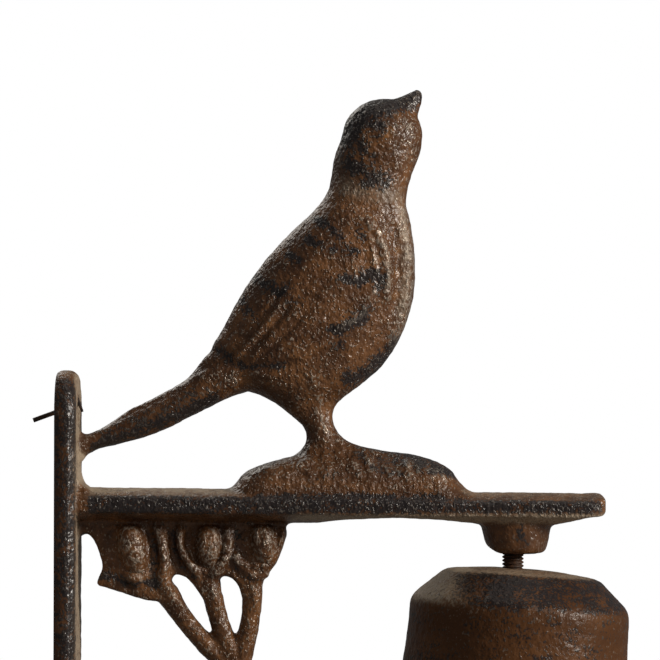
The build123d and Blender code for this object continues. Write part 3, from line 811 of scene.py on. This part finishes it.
class CastingSettings(bpy.types.PropertyGroup):
    """How the sand castings are meshed and roughened."""

    bracket_pitch: length_property("Bracket mesh pitch", "Size of the bracket's mesh faces", 0.00072)
    bell_pitch: length_property("Bell mesh pitch", "Size of the bell's mesh faces", 0.00085)
    ball_pitch: length_property("Ball mesh pitch", "Size of the clapper ball's mesh faces", 0.00045)
    bracket_rounding: rounding_property("Bracket rounding", "How far the bracket's edges are softened", 3)
    bell_rounding: rounding_property("Bell rounding", "How far the bell's edges are softened", 10)
    ball_rounding: rounding_property("Ball rounding", "How far the clapper ball's seam is softened", 1)
    regrow: length_property("Regrow", "Puts back what softening takes off the skin", 0.00010)
    lump_height: length_property("Lump height", "Height of the broad unevenness", 0.00016)
    grain_height: length_property("Grain height", "Height of the sand grain", 0.00011)
    grain_pitch: length_property("Grain pitch", "Distance between grains of sand", 0.0018)


class FinishSettings(bpy.types.PropertyGroup):
    """Colours of the rusted iron and steel."""

    # Deep rust also serves as painted shade in the grain's creases
    rust_deep: colour_property("Deep rust", "Rust in hollows", (0.082, 0.033, 0.012))
    rust_warm: colour_property("Warm rust", "Open rust", (0.212, 0.092, 0.033))
    rust_orange: colour_property("Orange rust", "Fresh rust", (0.350, 0.150, 0.040))
    # Black patina, also used as painted shade on the arm's and plate's sides, beside the buds' ridges and on
    # the bell
    black: colour_property("Black patina", "Black patches", (0.016, 0.015, 0.017))
    # Dust, also used as painted sheen on faces that the lamps light
    dust: colour_property("Dust", "Grey-tan dust on what faces up", (0.420, 0.330, 0.235))
    # Bright tips: rubbed grain and painted glints
    bright: colour_property("Bright tips", "Rubbed tips of the grain", (0.500, 0.425, 0.345))
    steel: colour_property("Steel", "Bare steel", (0.200, 0.170, 0.145))
    dark_steel: colour_property("Dark steel", "Blackened steel", (0.055, 0.045, 0.040))


class StudioSettings(bpy.types.PropertyGroup):
    """Lamps, floor and camera."""

    top_power: power_property("Top lamp", "Power of the lamp above", 0.65)
    right_power: power_property("Right lamp", "Power of the lamp at the right", 9.5)
    back_power: power_property("Back lamp", "Power of the lamp behind", 2.0)
    spark_power: power_property("Spark lamp", "Power of the small front lamp", 1.4)
    lamp_colour: colour_property("Lamp colour", "Colour of every lamp", (1.0, 0.94, 0.86))
    ambient: share_property("Ambient", "Even light from all round", 0.10)
    floor_glow: share_property("Floor glow", "Light that the camera sees the floor give off", 0.70)
    floor_paleness: share_property("Floor paleness", "How pale the floor is in the lamps' light", 0.26)
    camera_distance: length_property("Camera distance", "From the camera to the bracket's middle", 1.1)
    view_width: length_property("View width", "Width seen at the bracket's middle", 0.1848)


# Pieces


class CASTBELL_OT_bracket(bpy.types.Operator):
    """Makes the bracket casting with its plate, arm, bird, buds and boss"""

    bl_idname = "cast_bell.bracket"
    bl_label = "Bracket casting"

    def execute(self, context):
        sizes = context.scene.cast_bell_casting
        piece = copy_of("bracket_casting", "rough_bracket")
        add_fillets(piece)
        remesh(piece, sizes.bracket_pitch)
        skin = Skin(piece)
        skin.soften(sizes.bracket_rounding)
        skin.raise_by(sizes.regrow / MM)
        for middle, radius, (out, up) in NUDGES:
            share = patches(skin.places, [(*middle, radius, 1.0)])
            skin.points += share[:, None] * np.array((out, 0.0, up))
        skin.write()
        on_side = ramp(skin.sideways, 0.25, 0.75)
        above_arm = ramp(skin.up, *ABOVE_ARM)
        on_plate = fall(skin.out, *PLATE_TO_ARM)
        relief = self.relief(skin, above_arm, on_plate)
        skin.raise_by(relief * on_side)
        on_mound = above_arm * fall(skin.up, *MOUND_TO_LEG) * ramp(skin.out, *TAIL_TO_MOUND)
        flat_back = 0.4
        knobbly = 0.30 * above_arm + 2.4 * on_mound * on_side
        roughen(skin, sizes, skin.out > flat_back, knobbly)
        skin.keep_within(*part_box("bracket_casting"))
        self.paint_casting(skin, relief, above_arm, on_plate, on_mound)
        iron = cast_iron("rusted casting", context.scene.cast_bell_finish)
        finish_piece(piece, "bracket", iron)
        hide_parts("bracket_casting")
        return {"FINISHED"}

    def relief(self, skin, above_arm, on_plate):
        """Height of the feathers, petals and knobs, and the plate's sides sunk beside their bead."""
        below_arm = fall(skin.up, *WEB_TO_ARM)
        ridges = summed(skin.places, BIRD_RELIEF) * above_arm + summed(skin.places, BUD_RELIEF) * below_arm
        beside_bead = 1.0 - hump(skin.out, PLATE_BEAD, 1.5)
        return ridges - 0.50 * beside_bead * on_plate * ramp(skin.side, 10.0, 13.0)

    def paint_casting(self, skin, relief, above_arm, on_plate, on_mound):
        """Says where the patina and painted shade, rust, dust and painted sheen, rubbed grain and painted
        glints lie.
        """
        out, side, up, places = skin.out, skin.side, skin.up, skin.places
        off_plate = ramp(out, 8.0, 10.0)
        below_arm = fall(up, *WEB_TO_ARM)
        arm_side = ramp(up, *ARM_SIDE_LOW) * fall(up, *ARM_SIDE_HIGH) * off_plate
        arm_side = arm_side * ramp(side, ARM_HALF_WIDTH - 2.5, ARM_HALF_WIDTH - 0.6)
        on_boss = fall(skin.from_screw, *BOSS_EDGE) * fall(up, 17.0, 18.0)
        under_arm = ramp(up, 14.5, 16.0) * fall(up, 19.2, 20.8) * ramp(out, 62.0, 68.0)
        low_bevel = under_arm * ramp(side, 5.0, 8.0) * (1.0 - on_boss)
        plate_side = on_plate * ramp(side, 9.0, 12.0)
        wall_half = fall(out, 1.6, 3.6)
        plate_front = ramp(skin.normals[:, 0], 0.6, 0.9) * fall(out, 7.0, 9.0)
        arm_top = ramp(skin.normals[:, 2], 0.7, 0.9) * hump(up, ARM_TOP, 1.6)
        on_tail = above_arm * fall(out, 36.0, 46.0) * (1.0 - on_plate)
        # Painted shade: edge-on faces of the bird and mound get deeper rust and less dust
        shaded_rim = above_arm * off_plate * fall(skin.sideways, 0.30, 0.70)
        # Painted glints along the plate's bead
        bead_light = 1.1 * hump(out, PLATE_BEAD + 0.4, 0.8) * plate_side

        # Black on the arm's and plate's sides: patina and painted shade
        black = np.maximum(1.05 * arm_side, plate_side * (0.95 - 0.35 * wall_half))
        black = np.maximum(black, 1.2 * strongest(places, BLACK_STROKES) * above_arm)
        black = np.maximum(black, strongest(places, BOSS_BLACK) * on_boss)
        black = np.maximum(black, strongest(places, BUD_BLACK) * below_arm)
        # Dust and painted sheen: the plate's front and the arm's low bevel are painted as if lit, and the
        # arm's top gets dust and painted sheen
        dust = plate_front + 1.3 * low_bevel + arm_top + strongest(places, DUST_AND_SHEEN_STROKES)
        # Deeper rust on the mound, tail and boss, and painted shade on the arm's and plate's sides and the
        # edge-on faces
        deep = 0.80 * on_mound + 0.55 * on_tail + 0.55 * arm_side + 0.35 * on_boss
        deep += 0.75 * plate_side + 0.7 * shaded_rim
        calm = 0.60 * on_tail + 0.20 * arm_side + 0.80 * on_boss
        calm += 0.70 * plate_side + 0.9 * plate_front + 0.8 * arm_top
        skin.paint_layers(
            crest=skin.crest(rounds=14, reach=0.28),
            black=black,
            orange=patches(places, ORANGE_PATCHES),
            # Painted glints on the relief, the plate's bead and the glint strokes
            shine=np.clip(relief / 0.5, 0.0, 1.0) + bead_light + strongest(places, GLINT_STROKES),
            dust=dust * (1.0 - 0.7 * shaded_rim),
            deep=deep,
            calm=calm,
        )


class CASTBELL_OT_bell(bpy.types.Operator):
    """Makes the bell casting"""

    bl_idname = "cast_bell.bell"
    bl_label = "Bell casting"

    def execute(self, context):
        sizes = context.scene.cast_bell_casting
        piece = copy_of("bell", "rough_bell")
        remesh(piece, sizes.bell_pitch)
        skin = Skin(piece)
        skin.soften(sizes.bell_rounding)
        skin.raise_by(1.2 * sizes.regrow / MM)
        roughen(skin, sizes, ramp(skin.from_screw, 12.5, 15.0))
        skin.keep_within(*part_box("bell"))
        self.paint_bell(skin)
        iron = cast_iron(
            "rusted bell",
            context.scene.cast_bell_finish,
            patina=0.02,
            grain_depth=0.70,
            speckle=0.75,
            streak=2.2,
            dull=0.34,
            gloss=0.22,
        )
        finish_piece(piece, "bell", iron)
        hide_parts("bell")
        return {"FINISHED"}

    def paint_bell(self, skin):
        """Says where the bell is dusty with a painted highlight, toward the wall, and where it is black with
        painted shade, away from it.
        """
        facing_up = skin.normals[:, 2]
        crown = ramp(skin.up, CROWN_FOOT - 2.0, CROWN_FOOT + 2.0)
        shoulder = ramp(facing_up, 0.20, 0.40) * fall(facing_up, 0.90, 0.97) * crown
        wall_side = ramp(BOSS_FROM_WALL - skin.out, 8.0, 22.0)
        top = ramp(facing_up, 0.80, 0.98) * crown
        under_top = shoulder * ramp(skin.up, CROWN_FOOT + 8.0, CROWN_FOOT + 13.0)
        skin.paint_layers(
            crest=skin.crest(rounds=14, reach=0.28),
            # Black patina, with painted shade on the shoulder away from the wall
            black=0.30 + (0.45 * shoulder + 0.20 * under_top) * (1.0 - wall_side),
            # Painted highlight on the shoulder toward the wall
            shine=1.2 * shoulder * wall_side,
            # Dust and painted sheen on the shoulder toward the wall and on the top
            dust=1.3 * np.maximum(shoulder, top) * wall_side + 0.5 * top,
            deep=0.85 * (1.0 - top),
            calm=0.6 * (1.0 - shoulder * wall_side),
        )


class CASTBELL_OT_ball(bpy.types.Operator):
    """Makes the cast clapper ball"""

    bl_idname = "cast_bell.ball"
    bl_label = "Clapper ball"

    def execute(self, context):
        sizes = context.scene.cast_bell_casting
        piece = copy_of("clapper_ball", "rough_ball")
        remesh(piece, sizes.ball_pitch)
        skin = Skin(piece)
        skin.soften(sizes.ball_rounding)
        roughen(skin, sizes, 1.0)
        skin.keep_within(*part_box("clapper_ball"))
        skin.paint_layers(crest=skin.crest(rounds=10, reach=0.2), black=0.3)
        iron = cast_iron("rusted ball", context.scene.cast_bell_finish, patina=0.1, grain_depth=0.2)
        finish_piece(piece, "clapper", iron)
        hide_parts("clapper_ball")
        return {"FINISHED"}


class CASTBELL_OT_screw(bpy.types.Operator):
    """Makes the threaded hanger screw with its eye"""

    bl_idname = "cast_bell.screw"
    bl_label = "Hanger screw"

    pitch: length_property("Thread pitch", "Distance between turns", 0.0010)
    thread_depth: length_property("Thread depth", "From crest to root", 0.00058)

    def execute(self, context):
        low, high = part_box("hanger_eyebolt")
        radius = (high.y - low.y) / 2
        half_width = (high.x - low.x) / 2
        centre_x = (high.x + low.x) / 2
        nut_low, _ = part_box("hanger_nut")
        neck = 0.0015
        rod_end = nut_low.z - neck
        ring_radius = rod_end - (low.z + half_width)
        wire = half_width - ring_radius
        work = bmesh.new()
        self.add_thread(work, centre_x, rod_end, high.z, radius)
        self.add_eye(work, Vector((centre_x, 0.0, rod_end - ring_radius)), ring_radius, wire)
        mesh = bpy.data.meshes.new("threaded_hanger")
        work.to_mesh(mesh)
        work.free()
        mesh.shade_smooth()
        piece = bpy.data.objects.new("threaded_hanger", mesh)
        context.scene.collection.objects.link(piece)
        colours = context.scene.cast_bell_finish
        steel = worn_steel("screw steel", colours, colours.dark_steel, 0.45)
        finish_piece(piece, "bracket", steel)
        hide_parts("hanger_eyebolt")
        return {"FINISHED"}

    def add_thread(self, work, centre_x, start, end, radius):
        """A rod with one helical vee thread whose crests are a little flat, closed at both ends."""
        sides, rows_per_turn, flat = 40, 8, 1 / 3
        rows = math.ceil((end - start) / (self.pitch / rows_per_turn))
        rings = []
        for row in range(rows + 1):
            height = start + (end - start) * row / rows
            ring = []
            for side in range(sides):
                turn = side / sides
                phase = (height / self.pitch - turn) % 1.0
                cut = max(0.0, (abs(2.0 * phase - 1.0) - flat) / (1.0 - flat))
                reach = radius - self.thread_depth * cut
                angle = 2 * math.pi * turn
                place = (centre_x + reach * math.cos(angle), reach * math.sin(angle), height)
                ring.append(work.verts.new(place))
            rings.append(ring)
        for below, above in zip(rings[:-1], rings[1:]):
            join_rings(work, below, above)
        work.faces.new(list(reversed(rings[0])))
        work.faces.new(rings[-1])

    def add_eye(self, work, centre, ring_radius, wire):
        """The closed eye that the clapper's link hangs in."""
        around, across = 64, 20
        rings = []
        for step in range(around):
            angle = 2 * math.pi * step / around
            out = Vector((math.cos(angle), 0.0, math.sin(angle)))
            ring = []
            for side in range(across):
                tilt = 2 * math.pi * side / across
                reach = ring_radius + wire * math.cos(tilt)
                ring.append(work.verts.new(centre + out * reach + Vector((0.0, wire * math.sin(tilt), 0.0))))
            rings.append(ring)
        for here, there in zip(rings, rings[1:] + rings[:1]):
            join_rings(work, there, here)


class CASTBELL_OT_fittings(bpy.types.Operator):
    """Gives the nut, washer, nail and clapper wires their steel"""

    bl_idname = "cast_bell.fittings"
    bl_label = "Nut, washer, nail and wires"

    def execute(self, context):
        colours = context.scene.cast_bell_finish
        finishes = {
            "hanger_nut": worn_steel("nut steel", colours, colours.steel, 0.35),
            "seat_washer": worn_steel("washer steel", colours, colours.steel, 0.4),
            "wall_nail": worn_steel("nail steel", colours, colours.dark_steel, 0.3),
            "clapper_link": worn_steel("link wire", colours, colours.steel, 0.25),
            "clapper_rod": worn_steel("rod wire", colours, colours.steel, 0.25),
        }
        for node, material in finishes.items():
            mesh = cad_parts[node].data
            mesh.materials.clear()
            mesh.materials.append(material)
        return {"FINISHED"}


def turned_to(target, place):
    """How a lamp or camera at a place is turned to look at a target."""
    return (target - place).to_track_quat("-Z", "Y").to_euler()


class CASTBELL_OT_studio(bpy.types.Operator):
    """Sets up the pale floor, the soft lamps and the camera"""

    bl_idname = "cast_bell.studio"
    bl_label = "Studio"

    def execute(self, context):
        studio = context.scene.cast_bell_studio
        self.add_floor(context, studio)
        self.add_world(context, studio.ambient)
        for name, place, side, power in LAMPS:
            self.add_lamp(context, name, Vector(place), side, getattr(studio, power), studio.lamp_colour)
        self.add_camera(context, studio)
        context.scene.view_settings.view_transform = "Standard"
        return {"FINISHED"}

    def add_floor(self, context, studio):
        half_width, reach_back, drop = 1.6, 1.1, 0.05
        level = CAD_LOW.z - drop
        corners = [
            (-half_width, -half_width, level),
            (half_width, -half_width, level),
            (half_width, reach_back, level),
            (-half_width, reach_back, level),
        ]
        mesh = bpy.data.meshes.new("floor")
        mesh.from_pydata(corners, [], [(0, 1, 2, 3)])
        mesh.materials.append(plain_white("floor white", studio.floor_glow, studio.floor_paleness))
        floor = bpy.data.objects.new("floor", mesh)
        context.scene.collection.objects.link(floor)

    def add_world(self, context, ambient):
        """A surround that is white to the camera and an even dim light to everything else."""
        world = bpy.data.worlds.new("pale surround")
        context.scene.world = world
        world.use_nodes = True
        tree = NodeTree(world.node_tree)
        seen = tree.node("ShaderNodeLightPath", output="Is Camera Ray")
        light = tree.node("ShaderNodeBackground", None, {"Color": WHITE, "Strength": ambient})
        backdrop = tree.node("ShaderNodeBackground", None, {"Color": WHITE, "Strength": 1.0})
        either = tree.node("ShaderNodeMixShader", None, {"Fac": seen, 1: light, 2: backdrop})
        tree.end("ShaderNodeOutputWorld", either)

    def add_lamp(self, context, name, place, side, power, colour):
        data = bpy.data.lights.new(name, "AREA")
        data.shape = "SQUARE"
        data.size = side
        data.energy = power
        data.color = colour
        lamp = bpy.data.objects.new(name, data)
        lamp.location = place
        lamp.rotation_euler = turned_to(LAMP_AIM, place)
        lamp.visible_camera = False
        context.scene.collection.objects.link(lamp)

    def add_camera(self, context, studio):
        place = Vector((CAMERA_AIM.x, -studio.camera_distance, CAMERA_HEIGHT))
        data = bpy.data.cameras.new("camera")
        data.sensor_width = 36.0
        data.lens = data.sensor_width * (CAMERA_AIM - place).length / studio.view_width
        data.clip_start, data.clip_end = 0.01, 20.0
        camera = bpy.data.objects.new("camera", data)
        camera.location = place
        camera.rotation_euler = turned_to(CAMERA_AIM, place)
        context.scene.collection.objects.link(camera)
        context.scene.camera = camera


STEPS = (
    CASTBELL_OT_studio,
    CASTBELL_OT_bracket,
    CASTBELL_OT_bell,
    CASTBELL_OT_ball,
    CASTBELL_OT_screw,
    CASTBELL_OT_fittings,
)


class CASTBELL_PT_sidebar(bpy.types.Panel):
    """Lists the pieces of the bell in the sidebar"""

    bl_idname = "CASTBELL_PT_sidebar"
    bl_label = "Bird Bell"
    bl_space_type = "VIEW_3D"
    bl_region_type = "UI"
    bl_category = "Bird Bell"

    def draw(self, context):
        for step in STEPS:
            self.layout.operator(step.bl_idname)


SETTINGS = {
    "cast_bell_casting": CastingSettings,
    "cast_bell_finish": FinishSettings,
    "cast_bell_studio": StudioSettings,
}
CLASSES = (*SETTINGS.values(), *STEPS, CASTBELL_PT_sidebar)


def register():
    for one in CLASSES:
        bpy.utils.register_class(one)
    for name, group in SETTINGS.items():
        setattr(bpy.types.Scene, name, PointerProperty(type=group))


def unregister():
    for name in SETTINGS:
        delattr(bpy.types.Scene, name)
    for one in reversed(CLASSES):
        bpy.utils.unregister_class(one)


def main():
    register()
    bpy.ops.cast_bell.studio()
    bpy.ops.cast_bell.bracket()
    bpy.ops.cast_bell.bell()
    bpy.ops.cast_bell.ball()
    bpy.ops.cast_bell.screw()
    bpy.ops.cast_bell.fittings()


if __name__ == "__main__":
    main()
